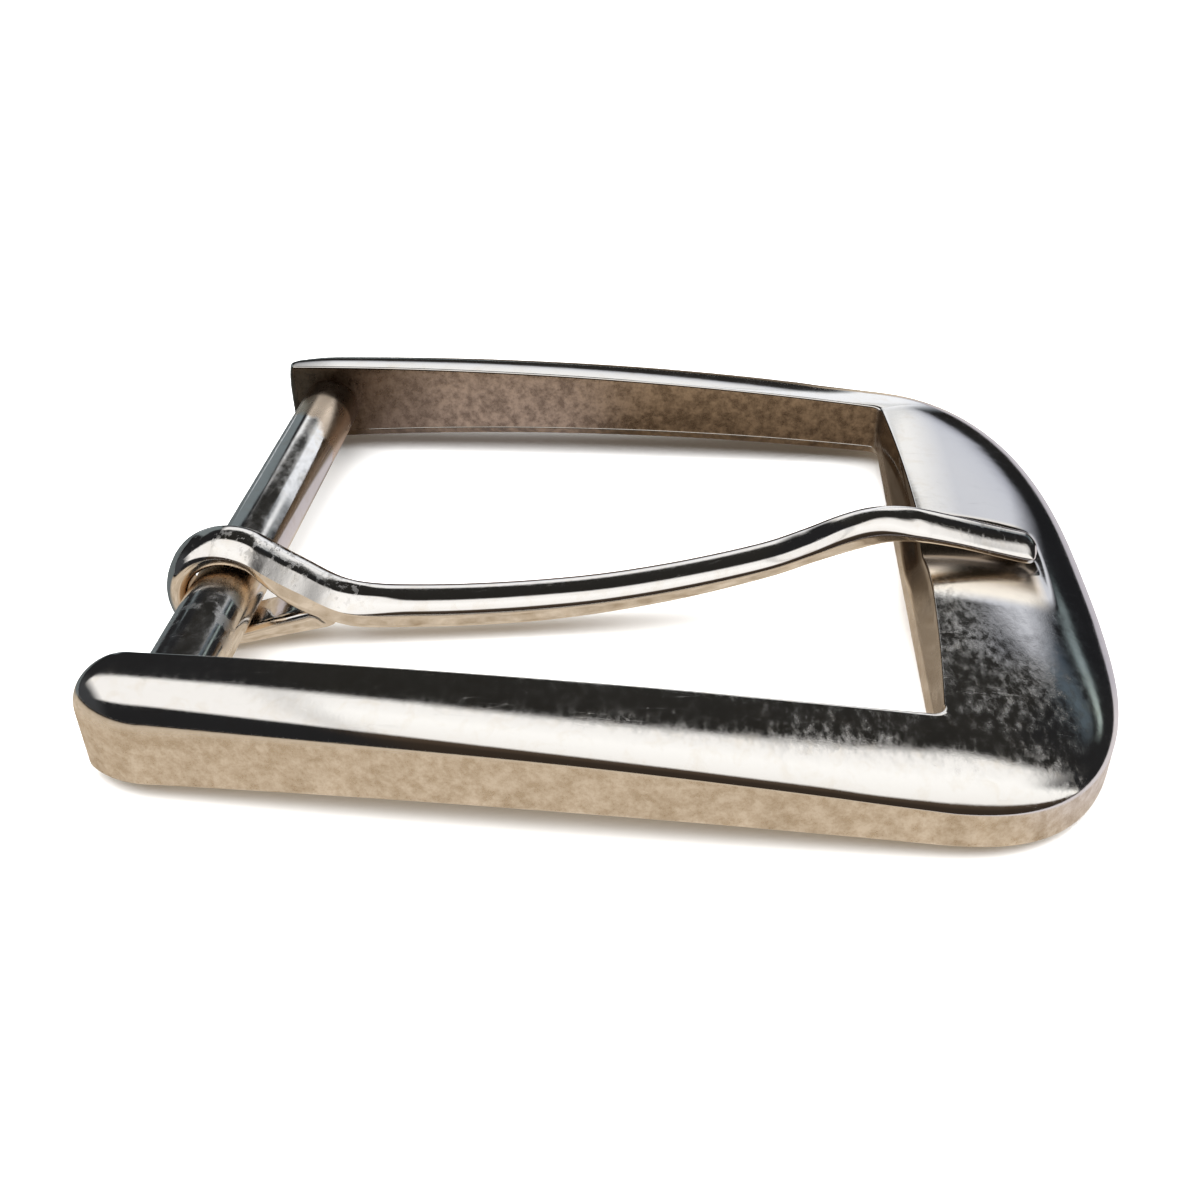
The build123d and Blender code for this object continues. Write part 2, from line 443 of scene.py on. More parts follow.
def make_frame():
    builder = Builder()
    for side, shape in ((1, FAR_HALF), (-1, NEAR_HALF)):
        face_rows, wall_rows, foot_rows, inner_rows = half_frame(shape)
        flip = side < 0
        mirror = np.array([1, side, 1.0])
        face = face_rows * mirror
        inner = inner_rows * mirror
        face[..., 2] = carve(face[..., 0], face[..., 1], face[..., 2])
        # the wall's top follows the trough, less and less towards its foot
        edge = inner[:, :1]
        shift = carve(edge[..., 0], edge[..., 1], edge[..., 2]) - edge[..., 2]
        dying = np.linspace(1, 0, UPPER_WALL_POINTS + LOWER_WALL_POINTS)
        follow = np.concatenate([np.ones(EDGE_POINTS), dying])
        inner[:, :len(follow), 2] += shift * follow[None]
        builder.grid(face, flip)
        builder.grid(wall_rows * mirror, flip)
        builder.grid(np.concatenate([wall_rows[:, -1:], foot_rows], 1) * mirror, flip)
        builder.grid(inner, not flip)
        # Underside: from the outer foot to the inner foot
        outer_foot = foot_rows[:, -1] * mirror
        inner_foot = inner[:, -1]
        count = min(len(outer_foot), len(inner_foot))
        share = np.linspace(0, 1, 12)[None, :, None]
        under = outer_foot[:count, None] + (inner_foot[:count] - outer_foot[:count])[:, None] * share
        under[..., 2] = underside(under[..., 0])
        builder.grid(under, flip)
    obj = builder.object("buckle_frame_cast")
    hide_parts("buckle_frame")
    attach(obj, "frame")
    return obj


def make_crossbar():
    builder = Builder()
    angle = np.linspace(0, 2 * math.pi, 129)[:-1]
    stations = np.linspace(-BAR_HALF, BAR_HALF, 161)
    rows = []
    for y in stations:
        waver = 0.004 * math.sin(y * 1.3) * math.sin(y * 0.37 + 1)
        radius = BAR_RADIUS + waver
        rows.append(np.column_stack([radius * np.cos(angle), np.full_like(angle, y), radius * np.sin(angle)]))
    builder.grid(rows, close=True)
    builder.cap(rows[0])
    builder.cap(rows[-1], True)
    obj = builder.object("crossbar_pin")
    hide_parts("crossbar")
    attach(obj, "frame")
    return obj


def smooth_path(points, per_span=24):
    """A centripetal curve through the points (Catmull-Rom)."""
    p = np.asarray(points, float)
    p = np.concatenate([[2 * p[0] - p[1]], p, [2 * p[-1] - p[-2]]])
    out = []
    for i in range(1, len(p) - 2):
        a, b, c, d = p[i - 1], p[i], p[i + 1], p[i + 2]
        for t in np.linspace(0, 1, per_span, endpoint=False):
            out.append(
                0.5 * ((2 * b) + (-a + c) * t + (2 * a - 5 * b + 4 * c - d) * t ** 2
                       + (-a + 3 * b - 3 * c + d) * t ** 3)
            )
    out.append(p[-2])
    return np.array(out)


def on_eye(radius, degrees):
    return (radius * math.cos(math.radians(degrees)), radius * math.sin(math.radians(degrees)))


def prong_stations():
    """Paths along the strip's inner and outer sides, from the tail's end to the tip."""
    tail_end = [(4.95, -1.1), (6.3, -2.62)]
    tail_start = [on_eye(EYE_IN, EYE_FROM), on_eye(EYE_OUT, EYE_FROM)]
    pairs = [tail_end]
    for t in (0.25, 0.5, 0.75):
        pairs.append([np.array(a) * (1 - t) + np.array(b) * t for a, b in zip(tail_end, tail_start)])
    for degrees in np.linspace(EYE_FROM, EYE_TO, 19):
        pairs.append([on_eye(EYE_IN, degrees), on_eye(EYE_OUT, degrees)])
    pairs += [
        [(2.75, 0.35), (3.9, 1.72)],
        [(3.75, -0.55), (5.15, 0.82)],
        [(5.0, -1.35), (6.2, 0.06)],
        [(6.45, -2.0), (7.15, -0.45)],
        [(7.9, -2.42), (8.4, -0.78)],
        [(10.4, -2.57), (10.6, -1.02)],
        [(14.5, -2.66), (14.5, -1.13)],
        [(19.0, -2.53), (19.0, -1.02)],
        [(23.5, -2.05), (23.5, -0.68)],
        [(28.4, -1.2), (28.3, 0.05)],
        [(33.2, 0.01), (33.0, 1.08)],
        [(36.0, 0.98), (35.6, 2.0)],
        [(38.4, 1.75), (37.9, 3.0)],
        [(40.6, 2.25), (40.1, 3.58)],
        [(42.6, 2.1), (42.4, 3.5)],
        [(45.0, 1.55), (45.1, 2.8)],
        [(47.6, 0.75), (47.8, 2.0)],
        [(49.2, 0.28), (49.5, 1.52)],
        [(50.2, 0.08), (50.4, 1.28)],
    ]
    return smooth_path([a for a, b in pairs], 14), smooth_path([b for a, b in pairs], 14)


def crown(a, sloping, ridge, slant):
    """Point on the strip's upper side at angle a from its near edge: domed, or flat with a sloping near side.

    The flat side meets the sloping one at the ridge, and falls towards it by the slant.
    """
    flat = math.copysign(abs(math.cos(a)) ** 0.76, -math.cos(a))
    domed = (flat + 0.18 * (1 - flat * flat), math.sin(a) ** 0.95)
    w = -math.cos(a)
    beyond = max((w - ridge) / (1 - ridge), 0)
    near = 1 - slant * (1 - beyond) - (1 - slant) * soft_floor((ridge - w) / (1 + ridge), 0.09)
    far = (1 - beyond ** 4) ** 0.4
    sloped = (w, near * far)
    return [d + (s - d) * sloping for d, s in zip(domed, sloped)]


def strip_section(half, thick, round_in, side, upper):
    """Outline of the strip's section as (across, up), from the lower near corner up, over and round."""
    corner = np.linspace(0, math.pi / 2, 5)
    ring = []
    for a in corner[::-1]:
        ring.append((-(half - round_in + round_in * math.cos(a)), round_in - round_in * math.sin(a)))
    ring += [(-half, h) for h in np.linspace(round_in, side * thick, 5)[1:-1]]
    ring += [(half * w, (side + (1 - side) * h) * thick) for w, h in upper]
    ring += [(half, h) for h in np.linspace(side * thick, round_in, 5)[1:-1]]
    for a in corner:
        ring.append((half - round_in + round_in * math.cos(a), round_in - round_in * math.sin(a)))
    ring += [(w, 0.0) for w in np.linspace(half - round_in, -(half - round_in), 9)[1:-1]]
    return ring


def make_prong():
    inner, outer = prong_stations()
    forward = np.array([math.cos(PRONG_YAW), math.sin(PRONG_YAW), 0])
    across = np.array([-math.sin(PRONG_YAW), math.cos(PRONG_YAW), 0])
    up = np.array([0, 0, 1.0])
    on_bar = np.array([0, PRONG_Y, 0])
    along = lengths((inner + outer) / 2)
    total = along[-1]
    rows = []
    for here, low, high in zip(along, inner, outer):
        thick = np.linalg.norm(high - low)
        # how far this place belongs to the body, the stretch before the tip, the neck, the tail or the tip
        body = ease((here - 17) / 6)
        towards_tip = ease((here - total + 12) / 4)
        neck = ease((here - 12.8) / 5.0) * (1 - ease((here - 23) / 5))
        tail = np.clip(1 - here / 0.35, 0, 1)
        tip = np.clip(1 - (total - here) / PRONG_TIP_ROUND, 0, 1)

        width = PRONG_WIDTH + (PRONG_TIP_WIDTH - PRONG_WIDTH) * np.clip((here - 20) / (total - 20), 0, 1)
        width = max(width * max(1 - tip ** 2.4, 0.0) ** (1 / 2.4), PRONG_TIP_END)
        half = (width - 0.25 * tail ** 2) / 2
        rise = min((0.52 + 0.22 * towards_tip) * thick, 0.8 + 0.2 * towards_tip)
        sloping = max(neck, 0.75 * towards_tip)
        ridge = -0.2 + 0.2 * towards_tip
        slant = 0.28 * neck + 0.32 * towards_tip
        upper = [crown(a, sloping, ridge, slant) for a in np.linspace(0, math.pi, 33)]
        ring = strip_section(half, thick, 0.52 - 0.38 * body, 1 - rise / thick, upper)

        out = (high - low) / thick * (1 - 0.22 * tip ** 3)
        row = []
        for w, h in ring:
            p = low + out * h
            row.append(forward * p[0] + up * p[1] + across * w + on_bar)
        rows.append(row)
    builder = Builder()
    builder.grid(rows, close=True)
    builder.cap(rows[0])
    builder.cap(rows[-1], True)
    obj = builder.object("prong_bent", sharp=44.0)
    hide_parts("prong")
    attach(obj, "prong")
    return obj


# ---------------------------------------------------------------- materials
ALONG = dict(span=60.0)                   # spans of the grey ramps along X, Y and Z, in millimetres
ACROSS = dict(start=-30.0, span=60.0)
UPWARD = dict(start=-3.0, span=5.0)


def grey(v):
    return (v, v, v, 1.0)


class Nodes:
    """Small helper that adds nodes to a material and links them."""

    def __init__(self, tree):
        tree.nodes.clear()
        self.tree = tree

    def set(self, socket, value):
        if isinstance(value, bpy.types.NodeSocket):
            self.tree.links.new(value, socket)
        else:
            socket.default_value = value

    def add(self, kind, inputs=None, **settings):
        node = self.tree.nodes.new(kind)
        for key, value in settings.items():
            setattr(node, key, value)
        for key, value in (inputs or {}).items():
            self.set(node.inputs[key], value)
        return node

    def math(self, operation, a, b=0.0, clamp=False):
        return self.add("ShaderNodeMath", {0: a, 1: b}, operation=operation, use_clamp=clamp).outputs[0]

    def times(self, first, *others):
        for other in others:
            first = self.math("MULTIPLY", first, other)
        return first

    def plus(self, a, b):
        return self.math("ADD", a, b, True)

    def vector(self, operation, a, b=(0, 0, 0)):
        return self.add("ShaderNodeVectorMath", {0: a, 1: b}, operation=operation).outputs

    def place(self):
        """The point's own place in the frame, in millimetres."""
        own = self.add("ShaderNodeTexCoord").outputs["Object"]
        return self.vector("MULTIPLY", own, (1000, 1000, 1000))[0]

    def split(self, vector):
        return self.add("ShaderNodeSeparateXYZ", {"Vector": vector}).outputs

    def from_axis(self, place):
        """Distance from the Y axis, which is the crossbar's."""
        x, _, z = self.split(place)
        flat = self.add("ShaderNodeCombineXYZ", {"X": x, "Z": z}).outputs[0]
        return self.vector("LENGTH", flat)["Value"]

    def ramp(self, source, stops):
        node = self.add("ShaderNodeValToRGB", {"Fac": source})
        elements = node.color_ramp.elements
        while len(elements) > 1:
            elements.remove(elements[-1])
        elements[0].position = stops[0][0]
        elements[0].color = stops[0][1]
        for position, color in stops[1:]:
            elements.new(position).color = color
        return node.outputs["Color"]

    def mask(self, source, *stops, start=0.0, span=1.0):
        """A grey ramp. Each stop is a value of the source, from start to start + span, and the grey there."""
        if start:
            source = self.math("SUBTRACT", source, start)
        if span != 1:
            source = self.math("DIVIDE", source, span)
        return self.ramp(source, [((at - start) / span, grey(v)) for at, v in stops])

    def fade(self, value, start, end):
        """From 0 to 1, easing in and out, as the value goes from start to end."""
        inputs = {"Value": value, "From Min": start, "From Max": end}
        return self.add("ShaderNodeMapRange", inputs, interpolation_type="SMOOTHSTEP").outputs[0]

    def rescale(self, value, from_low, from_high, to_low, to_high):
        inputs = {
            "Value": value, "From Min": from_low, "From Max": from_high, "To Min": to_low, "To Max": to_high,
        }
        return self.add("ShaderNodeMapRange", inputs).outputs[0]

    def noise(self, vector, scale, detail=4.0, rough=0.55, distortion=0.0):
        inputs = {
            "Vector": vector, "Scale": scale, "Detail": detail, "Roughness": rough, "Distortion": distortion,
        }
        return self.add("ShaderNodeTexNoise", inputs).outputs["Fac"]

    def stretched(self, vector, scale):
        return self.add("ShaderNodeMapping", {"Vector": vector, "Scale": scale}).outputs[0]

    def mix(self, factor, a, b):
        node = self.add("ShaderNodeMix", data_type="RGBA")
        for name, value in (("Factor", factor), ("A", a), ("B", b)):
            sockets = [s for s in node.inputs if s.name == name and (s.type == "RGBA" or name == "Factor")]
            self.set(sockets[0], value)
        return [s for s in node.outputs if s.type == "RGBA"][0]


def new_material(name):
    mat = bpy.data.materials.new(name)
    mat.use_nodes = True
    return mat, Nodes(mat.node_tree)


def fine_scratches(n, place):
    """Thin lines in three directions, in patches."""
    total = None
    for turn, long_way, seed in ((8, 0.16, 3.1), (-17, 0.22, 7.7), (63, 0.3, 12.3)):
        mapped = n.add(
            "ShaderNodeMapping",
            {"Vector": place, "Rotation": (0.3, 0.2, math.radians(turn)), "Scale": (long_way, 1.7, 1.7),
             "Location": (seed, seed * 2, seed * 3)},
        ).outputs[0]
        cells = n.add("ShaderNodeTexVoronoi", {"Vector": mapped, "Scale": 1.0}, feature="DISTANCE_TO_EDGE")
        line = n.mask(cells.outputs["Distance"], (0.0, 1), (0.022, 0))
        line = n.times(line, n.mask(n.noise(mapped, 0.9, 2, 0.5), (0.60, 0), (0.70, 1)))
        total = line if total is None else n.math("MAXIMUM", total, line)
    return total


def nickel(name, base, rough_low, rough_high, fleck_edge, wear, skin_and_painted_light=None, painted_light_and_roughness=None):
    """Polished nickel with duller flecks, fine scratches and faint yellow stains.

    The flecks start and end at the edges given, and wear tells how worn each place is. The function for the
    walls of a casting gives their less polished finish and the light and shade painted on the casting, and
    the other function gives painted light and roughness of the piece's own.
    """
    mat, n = new_material(name)
    place = n.place()
    cloud = n.noise(place, 0.22, 4, 0.55)
    blotch = n.noise(place, 0.9, 5, 0.6, 0.4)
    grain = n.noise(place, 6.0, 3, 0.6)
    drag = n.noise(n.stretched(place, (0.25, 5.5, 5.5)), 1.0, 3, 0.6)

    # Warm nickel, yellower and browner in the stained places
    warm = (base[0] * 0.86, base[1] * 0.79, base[2] * 0.68, 1)
    colour = n.mix(n.times(n.mask(blotch, (0.5, 0), (0.78, 1)), 0.45), (*base, 1), warm)
    uneven = n.math("ADD", n.times(cloud, 0.85), n.times(drag, 0.15))
    rough = n.rescale(uneven, 0.35, 0.7, rough_low, rough_high)

    # Small dents and dull flecks where the plating has worn
    where = n.times(n.mask(n.noise(place, 0.16, 3, 0.5), (0.38, 0.3), (0.56, 1)), wear(n, place))
    flecks = n.noise(n.stretched(place, (1.0, 0.55, 1.0)), 2.3, 5, 0.62)
    fleck = n.times(n.mask(flecks, (fleck_edge[0], 0), (fleck_edge[1], 1)), where)
    scratches = fine_scratches(n, place)
    height = n.math("ADD", n.times(grain, 0.12), n.times(scratches, -0.06))
    height = n.math("ADD", height, n.times(cloud, 1.4))
    height = n.math("ADD", height, n.times(flecks, where, 0.9))

    if skin_and_painted_light:
        colour, rough, bumps = skin_and_painted_light(n, place, colour, rough)
        height = n.math("ADD", height, bumps)
    if painted_light_and_roughness:
        colour, rough = painted_light_and_roughness(n, place, colour, rough)
    rough = n.plus(rough, n.times(scratches, 0.15))
    rough = n.plus(rough, n.times(fleck, 0.27))
    bump = n.add("ShaderNodeBump", {"Height": height, "Strength": 0.6, "Distance": 0.000012}).outputs[0]
    inputs = {"Base Color": colour, "Metallic": 1.0, "Roughness": rough, "Normal": bump}
    shader = n.add("ShaderNodeBsdfPrincipled", inputs)
    n.add("ShaderNodeOutputMaterial", {"Surface": shader.outputs[0]})
    return mat


def casting_wear(n, place):
    """Most worn over the near half of the front bar."""
    x, y, _ = n.split(place)
    return n.times(
        n.mask(x, (0.0, 0.25), (21.0, 0.35), (30.0, 0.9), (48.6, 1), (50.7, 0.2), **ALONG),
        n.mask(y, (-6.6, 1), (-4.2, 0.12), **ACROSS),
        n.mask(y, (-23.1, 0.2), (-21.3, 1), **ACROSS),
    )


def bar_wear(n, place):
    return 0.4


def prong_wear(n, place):
    """Worn at the eye, and where the tip meets the front bar."""
    x = n.split(place)[0]
    return n.mask(x, (0.0, 1), (7.2, 1), (10.2, 0.12), (39.6, 0.12), (45.0, 1), (54.0, 1), **ALONG)


def cast_skin_and_painted_light(n, place, colour, rough):
    """Rougher speckled walls, a bluish front bar, and painted light: shade inside the front bar and the far
    rail, a shadow on that rail beside the crossbar, a tan reflection in the trough with a cream highlight on
    its rim, and a shadow under the prong.
    """
    x, y, z = n.split(place)
    facing_x, facing_y, facing_z = n.split(n.add("ShaderNodeNewGeometry").outputs["Normal"])
    to_heel = n.times(facing_x, -1.0)
    to_near = n.times(facing_y, -1.0)

    front = n.times(n.mask(x, (43.5, 0), (45.9, 1), **ALONG), n.mask(y, (-15.0, 0), (-11.4, 1), **ACROSS))
    colour = n.mix(n.times(front, 0.9), colour, (0.56, 0.57, 0.615, 1))
    trough_length = n.mask(x, (41.4, 0), (42.0, 1), (49.2, 1), (49.86, 0), **ALONG)
    # a painted cream highlight along the trough's rim
    painted_lip_highlight = n.times(n.mask(y, (-6.9, 0), (-6.0, 1), (2.4, 1), (3.0, 0), **ACROSS), trough_length)
    colour = n.mix(painted_lip_highlight, colour, (1.0, 0.93, 0.82, 1))
    # a painted tan reflection of the ground inside the trough, which is also a little rougher
    in_trough = n.times(
        n.mask(y, (-6.3, 0), (-5.4, 0.3), (-4.2, 1), (1.8, 1), (2.7, 0), **ACROSS),
        trough_length,
        n.mask(facing_z, (0.3, 0), (0.6, 1)),
    )
    colour = n.mix(n.times(in_trough, 0.9), colour, (0.90, 0.73, 0.53, 1))
    # a painted dark shadow under the prong
    painted_shadow_under_prong = n.times(in_trough, n.mask(y, (-3.78, 0), (-2.7, 1), **ACROSS))
    colour = n.mix(n.times(painted_shadow_under_prong, 0.85), colour, (0.20, 0.14, 0.09, 1))
    rough = n.plus(rough, n.times(in_trough, 0.10))

    # Speckled casting finish on every wall; painted shade darkens the inside of the front bar and the far
    # rail
    pits = n.noise(place, 1.35, 6, 0.72)
    steep = n.math("SUBTRACT", 1.0, n.math("ABSOLUTE", facing_z))
    wall = n.mask(steep, (0.72, 0), (0.93, 1))
    speckle = n.mix(n.mask(pits, (0.39, 0), (0.63, 1)), (0.66, 0.58, 0.48, 1), (1.0, 0.96, 0.90, 1))
    colour = n.mix(n.times(wall, 0.85), colour, speckle)
    # painted shade on the front bar's inner wall, darkest on its upper part
    inner_front = n.times(n.mask(x, (40.8, 0), (41.4, 1), **ALONG), n.mask(to_heel, (0.6, 0), (0.8, 1)))
    colour = n.mix(n.times(inner_front, 0.5), colour, (0.36, 0.32, 0.29, 1))
    upper = n.times(inner_front, n.mask(z, (-1.0, 0), (-0.8, 1), **UPWARD))
    colour = n.mix(n.times(upper, 0.7), colour, (0.16, 0.13, 0.10, 1))
    # the far rail's inner wall speckled dark brown as painted shade
    far_wall = n.times(n.mask(y, (17.1, 0), (17.4, 1), **ACROSS), n.mask(to_near, (0.6, 0), (0.85, 1)))
    painted_shade_speckle = n.ramp(pits, [(0.40, (0.20, 0.14, 0.095, 1)), (0.62, (0.54, 0.41, 0.29, 1))])
    colour = n.mix(n.times(far_wall, 0.85), colour, painted_shade_speckle)
    # a darker painted shadow on that wall beside the crossbar
    beside_bar = n.times(far_wall, n.mask(x, (3.0, 1), (10.2, 0), **ALONG))
    colour = n.mix(n.times(beside_bar, 0.75), colour, (0.10, 0.07, 0.05, 1))
    rough_wall = n.rescale(pits, 0.3, 0.7, 0.22, 0.40)
    rough = n.add("ShaderNodeMix", {0: wall, 2: rough, 3: rough_wall}).outputs[0]
    return colour, rough, n.times(pits, wall, 6.0)


def bar_wear_and_painted_light(n, place, colour, rough):
    """A rougher far end beside the far rail, with a painted tan reflection and painted shade where it meets
    the rail; a painted gold glint beside the prong's eye, a little rougher too, and worn patches near it.
    """
    x, y, _ = n.split(place)
    ragged = n.math("ADD", y, n.times(n.noise(place, 0.5, 3, 0.6), 4.0))
    ragged = n.math("ADD", ragged, n.times(x, 0.9))
    # a painted tan reflection on the bar's far end, which is also rougher there
    far_end = n.mask(ragged, (13.6, 0), (14.6, 1), span=20.0)
    colour = n.mix(n.times(far_end, 0.9), colour, (0.92, 0.74, 0.56, 1))
    # painted shade on the last stretch of the bar, where it meets the far rail
    last = n.mask(y, (15.3, 0), (15.7, 1), span=20.0)
    colour = n.mix(n.times(last, 0.8), colour, (0.12, 0.085, 0.06, 1))
    # a painted gold glint beside the prong's eye, a little rougher there too
    from_gold_glint = n.math("ABSOLUTE", n.math("ADD", y, 9.1))
    painted_gold_glint = n.mask(from_gold_glint, (0.48, 1), (1.44, 0), span=4.0)
    colour = n.mix(n.times(painted_gold_glint, 0.85), colour, (0.86, 0.68, 0.48, 1))
    near_end = n.mask(n.times(y, -1.0), (9.6, 0), (10.6, 1), span=20.0)
    worn = n.times(near_end, n.mask(n.noise(place, 0.55, 3, 0.6), (0.53, 0), (0.62, 1)))
    rough = n.plus(rough, n.times(worn, 0.24))
    rough = n.plus(rough, n.times(far_end, 0.20))
    return colour, n.plus(rough, n.times(painted_gold_glint, 0.14))


def eye_painted_shade(n, place, colour, rough):
    """Painted brown shade and gold reflection inside the eye, which is also rougher there, where polishing
    doesn't reach.
    """
    inside = n.mask(n.from_axis(place), (2.45, 1), (2.65, 0), span=5.0)
    colour = n.mix(n.times(inside, 0.9), colour, (0.56, 0.42, 0.29, 1))
    return colour, n.plus(rough, n.times(inside, 0.16))


# ---------------------------------------------------------------- studio
FLOOR_Z = -3.87


def make_plane(name, corners, material):
    mesh = bpy.data.meshes.new(name)
    mesh.from_pydata([tuple(c * MM for c in v) for v in corners], [], [list(range(len(corners)))])
    obj = bpy.data.objects.new(name, mesh)
    bpy.context.scene.collection.objects.link(obj)
    obj.data.materials.append(material)
    return obj


def make_level_plane(name, half, z, material):
    corners = [(-half, -half, z), (half, -half, z), (half, half, z), (-half, half, z)]
    return make_plane(name, corners, material)


def hide_from(obj, *rays):
    for ray in rays:
        setattr(obj, "visible_" + ray, False)


def make_floor():
    mat = bpy.data.materials.new("floor_pale")
    mat.use_nodes = True
    shader = mat.node_tree.nodes["Principled BSDF"]
    shader.inputs["Base Color"].default_value = (0.86, 0.86, 0.855, 1)
    shader.inputs["Roughness"].default_value = 0.9
    shader.inputs["Specular IOR Level"].default_value = 0.1
    make_level_plane("floor", 4000, FLOOR_Z, mat)


def make_backdrop():
    """A white wall all round the floor, seen only by the camera."""
    mat, n = new_material("backdrop_white")
    glow = n.add("ShaderNodeEmission", {"Color": (1.0, 1.0, 0.995, 1), "Strength": 1.0})
    n.add("ShaderNodeOutputMaterial", {"Surface": glow.outputs[0]})
    radius, height = 1500, 1700
    angle = np.linspace(0, 2 * math.pi, 97)[:-1]
    rings = []
    for lift in np.linspace(0, math.pi / 2, 13):
        reach = radius * math.cos(lift * 0.97)
        level = np.full_like(angle, FLOOR_Z + height * math.sin(lift))
        rings.append(np.column_stack([reach * np.cos(angle), reach * np.sin(angle), level]))
    builder = Builder()
    builder.grid(rings, close=True)
    wall = builder.object("backdrop")
    wall.data.materials.append(mat)
    hide_from(wall, "glossy", "diffuse", "shadow", "transmission")


def only_in_reflections(obj):
    hide_from(obj, "camera", "diffuse", "shadow", "transmission", "volume_scatter")


def make_ground_card():
    """A tan board just over the floor that shows only in the metal."""
    mat, n = new_material("ground_card")
    place = n.place()
    x, y, _ = n.split(place)
    speckle = n.noise(place, 0.5, 5, 0.7)
    colour = n.ramp(speckle, [(0.3, (0.40, 0.305, 0.205, 1)), (0.7, (0.86, 0.73, 0.58, 1))])
    # lilac past the front bar, a painted brown shadow before the far rail, lilac beside the crossbar,
    # blue-grey behind it
    colour = n.mix(n.fade(x, 46.0, 56.0), colour, (0.74, 0.69, 0.71, 1))
    shaded = n.times(n.fade(y, 2.0, 13.0), n.fade(x, 46.0, 40.0))
    colour = n.mix(n.times(shaded, 0.78), colour, (0.07, 0.045, 0.028, 1))
    beside_bar = n.times(
        n.fade(x, 1.0, 3.0), n.fade(x, 23.0, 17.0), n.fade(y, -2.0, 2.0), n.fade(y, 21.0, 15.0),
    )
    colour = n.mix(n.times(beside_bar, 0.85), colour, (0.66, 0.60, 0.62, 1))
    away = n.vector("DISTANCE", place, (25, 0, 0))["Value"]
    colour = n.mix(n.fade(away, 45.0, 150.0), colour, (0.014, 0.012, 0.011, 1))
    behind = n.times(n.fade(x, -1.5, -4.5), n.fade(y, -17.0, -7.0))
    colour = n.mix(behind, colour, (0.15, 0.17, 0.175, 1))
    glow = n.add("ShaderNodeEmission", {"Color": colour, "Strength": 1.0})
    n.add("ShaderNodeOutputMaterial", {"Surface": glow.outputs[0]})
    only_in_reflections(make_level_plane("ground_card", 1500, FLOOR_Z + 0.015, mat))


def make_back_card():
    """A board standing behind the far rail: white for the crossbar's right side, blue-grey for its left."""
    mat, n = new_material("back_card")
    place = n.place()
    x, _, z = n.split(place)
    angle = n.math("DIVIDE", n.math("ARCTAN2", z, x), math.pi)
    ring = n.mask(n.from_axis(place), (48, 0), (51, 1), (63, 1), (70, 0), span=100.0)
    white = n.times(ring, n.mask(angle, (0.35, 1), (0.37, 0)))
    to_left = n.mask(n.times(x, -1.0), (37, 0), (40, 1), (78, 1), (82, 0), span=100.0)
    blue = n.times(to_left, n.mask(z, (50, 1), (53, 0), span=100.0))
    colour = n.mix(white, (0.19, 0.22, 0.23, 1), (1.0, 1.02, 1.06, 1))
    glow = n.add("ShaderNodeEmission", {"Color": colour, "Strength": 1.0})
    clear = n.add("ShaderNodeBsdfTransparent")
    shown = n.math("MAXIMUM", white, blue)
    mixed = n.add("ShaderNodeMixShader", {0: shown, 1: clear.outputs[0], 2: glow.outputs[0]})
    n.add("ShaderNodeOutputMaterial", {"Surface": mixed.outputs[0]})
    half, y, top = 90, 90.0, 85
    corners = [(-half, y, FLOOR_Z), (half, y, FLOOR_Z), (half, y, top), (-half, y, top)]
    only_in_reflections(make_plane("back_card", corners, mat))


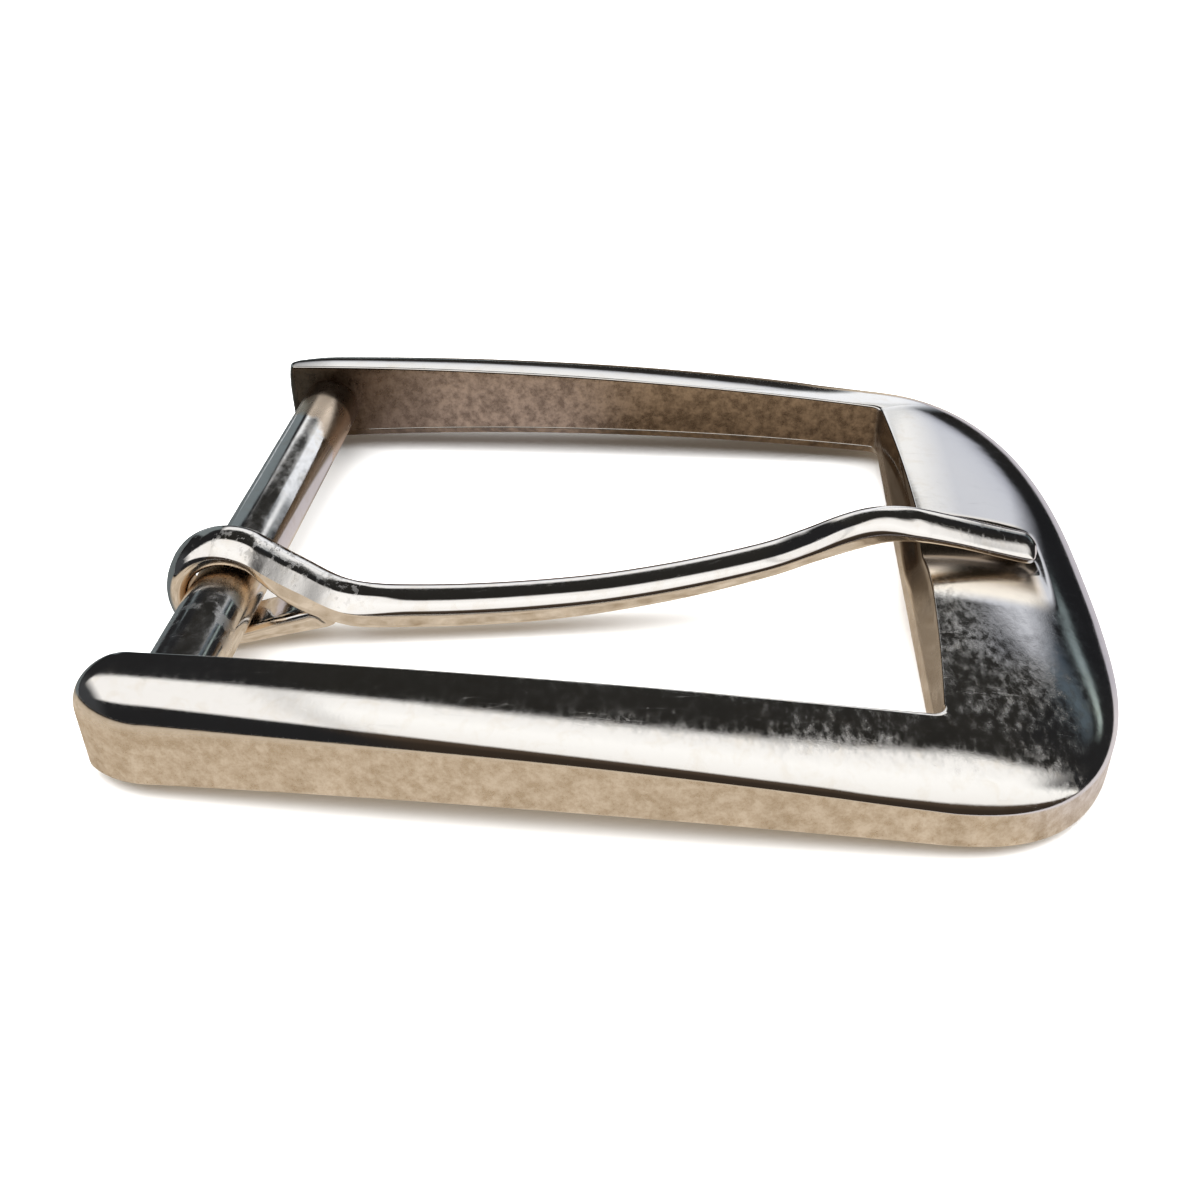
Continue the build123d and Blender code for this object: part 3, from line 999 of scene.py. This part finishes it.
def make_world():
    """Soft studio: an overhead softbox, a bright backdrop behind, dark gaps between them."""
    world = bpy.data.worlds.new("studio")
    bpy.context.scene.world = world
    world.use_nodes = True
    n = Nodes(world.node_tree)
    x, y, z = n.split(n.add("ShaderNodeTexCoord").outputs["Generated"])
    to_left = n.times(x, -1.0)
    # angle in the upright plane across the rails: 0 at the far horizon, 1 at the near one
    turn = n.math("DIVIDE", n.math("ARCTAN2", z, y), math.pi)
    colour = n.ramp(turn, [
        (0.0, (0.022, 0.020, 0.018, 1)),
        (0.066, (0.022, 0.021, 0.020, 1)),
        (0.082, (0.60, 0.61, 0.65, 1)),
        (0.100, (0.90, 0.91, 0.94, 1)),
        (0.130, (1.0, 1.0, 1.0, 1)),
        (0.166, (1.0, 1.0, 1.0, 1)),
        (0.178, (0.024, 0.023, 0.021, 1)),
        (0.335, (0.020, 0.019, 0.017, 1)),
        (0.362, (1.02, 1.0, 0.98, 1)),
        (0.45, (1.15, 1.14, 1.12, 1)),
        (0.652, (1.02, 1.0, 0.97, 1)),
        (0.69, (0.08, 0.055, 0.038, 1)),
        (0.80, (0.040, 0.029, 0.021, 1)),
        (1.0, (0.035, 0.025, 0.018, 1)),
    ])
    # to the left only the softbox is bright, and past it nothing
    dark = (0.018, 0.018, 0.019, 1)
    leftward = n.mask(to_left, (0.27, 0), (0.34, 1))
    colour = n.mix(leftward, colour, dark)
    softbox = n.times(leftward, n.mask(turn, (0.335, 0), (0.362, 1), (0.652, 1), (0.69, 0)))
    colour = n.mix(softbox, colour, (1.05, 1.03, 1.01, 1))
    colour = n.mix(n.mask(to_left, (0.80, 0), (0.92, 1)), colour, (0.05, 0.052, 0.056, 1))
    # to the right it is dark, with two dim windows
    greenish, bluish = (0.42, 0.50, 0.48, 1), (0.10, 0.13, 0.155, 1)
    window = n.ramp(n.math("ADD", n.times(z, 0.5), 0.5), [
        (0.0, dark), (0.628, dark), (0.634, greenish), (0.652, greenish), (0.658, dark),
        (0.680, dark), (0.690, bluish), (0.715, bluish), (0.725, dark), (1.0, dark),
    ])
    window = n.mix(n.mask(y, (0.52, 0), (0.62, 1), (0.76, 1), (0.81, 0)), dark, window)
    low_right = n.mask(x, (0.44, 0), (0.52, 1))
    high_right = n.mask(x, (0.56, 0), (0.64, 0.15), (0.74, 0.7), (0.86, 1))
    right = n.mix(n.mask(turn, (0.24, 0), (0.32, 1)), low_right, high_right)
    right = n.mix(n.mask(turn, (0.43, 0), (0.48, 1)), right, grey(0))
    colour = n.mix(right, colour, window)
    background = n.add("ShaderNodeBackground", {"Color": colour, "Strength": 1.0})
    n.add("ShaderNodeOutputWorld", {"Surface": background.outputs[0]})


def make_lights():
    """Lights the floor only: the metal sees the softbox and boards."""
    data = bpy.data.lights.new("floor_fill", "AREA")
    data.shape = "DISK"
    data.size = 2.4
    data.energy = 55.0
    light = bpy.data.objects.new("floor_fill", data)
    light.location = (0.0, 0.1, 0.9)
    light.rotation_euler = (math.radians(-6), 0, 0)
    light.visible_glossy = False
    bpy.context.scene.collection.objects.link(light)


def make_camera():
    data = bpy.data.cameras.new("camera")
    data.lens = 39.0
    data.sensor_width = 36.0
    data.dof.use_dof = False
    data.clip_start, data.clip_end = 0.005, 20.0
    camera = bpy.data.objects.new("camera", data)
    azimuth, elevation, roll = (math.radians(a) for a in (5.201, 34.911, -0.872))
    level = math.cos(elevation)
    back = Vector((math.sin(azimuth) * level, -math.cos(azimuth) * level, math.sin(elevation)))
    right = Vector((math.cos(azimuth), math.sin(azimuth), 0))
    up = back.cross(right)
    rolled_right = right * math.cos(roll) + up * math.sin(roll)
    rolled_up = up * math.cos(roll) - right * math.sin(roll)
    turn = Matrix((rolled_right, rolled_up, back)).transposed().to_4x4()
    camera.matrix_world = Matrix.Translation(Vector((28.787, -71.386, 45.043)) * MM) @ turn
    bpy.context.scene.collection.objects.link(camera)
    bpy.context.scene.camera = camera


make_camera()
frame_piece = make_frame()
bar_piece = make_crossbar()
prong_piece = make_prong()
frame_piece.data.materials.append(
    nickel("nickel_casting", (0.87, 0.855, 0.83), 0.05, 0.10, (0.40, 0.70), casting_wear, skin_and_painted_light=cast_skin_and_painted_light)
)
bar_piece.data.materials.append(
    nickel("nickel_bar", (0.86, 0.855, 0.85), 0.05, 0.11, (0.40, 0.70), bar_wear, painted_light_and_roughness=bar_wear_and_painted_light)
)
prong_piece.data.materials.append(
    nickel("nickel_prong", (0.88, 0.86, 0.835), 0.045, 0.09, (0.55, 0.60), prong_wear, painted_light_and_roughness=eye_painted_shade)
)
make_floor()
make_backdrop()
make_ground_card()
make_back_card()
make_world()
make_lights()
bpy.context.scene.view_settings.view_transform = "Standard"
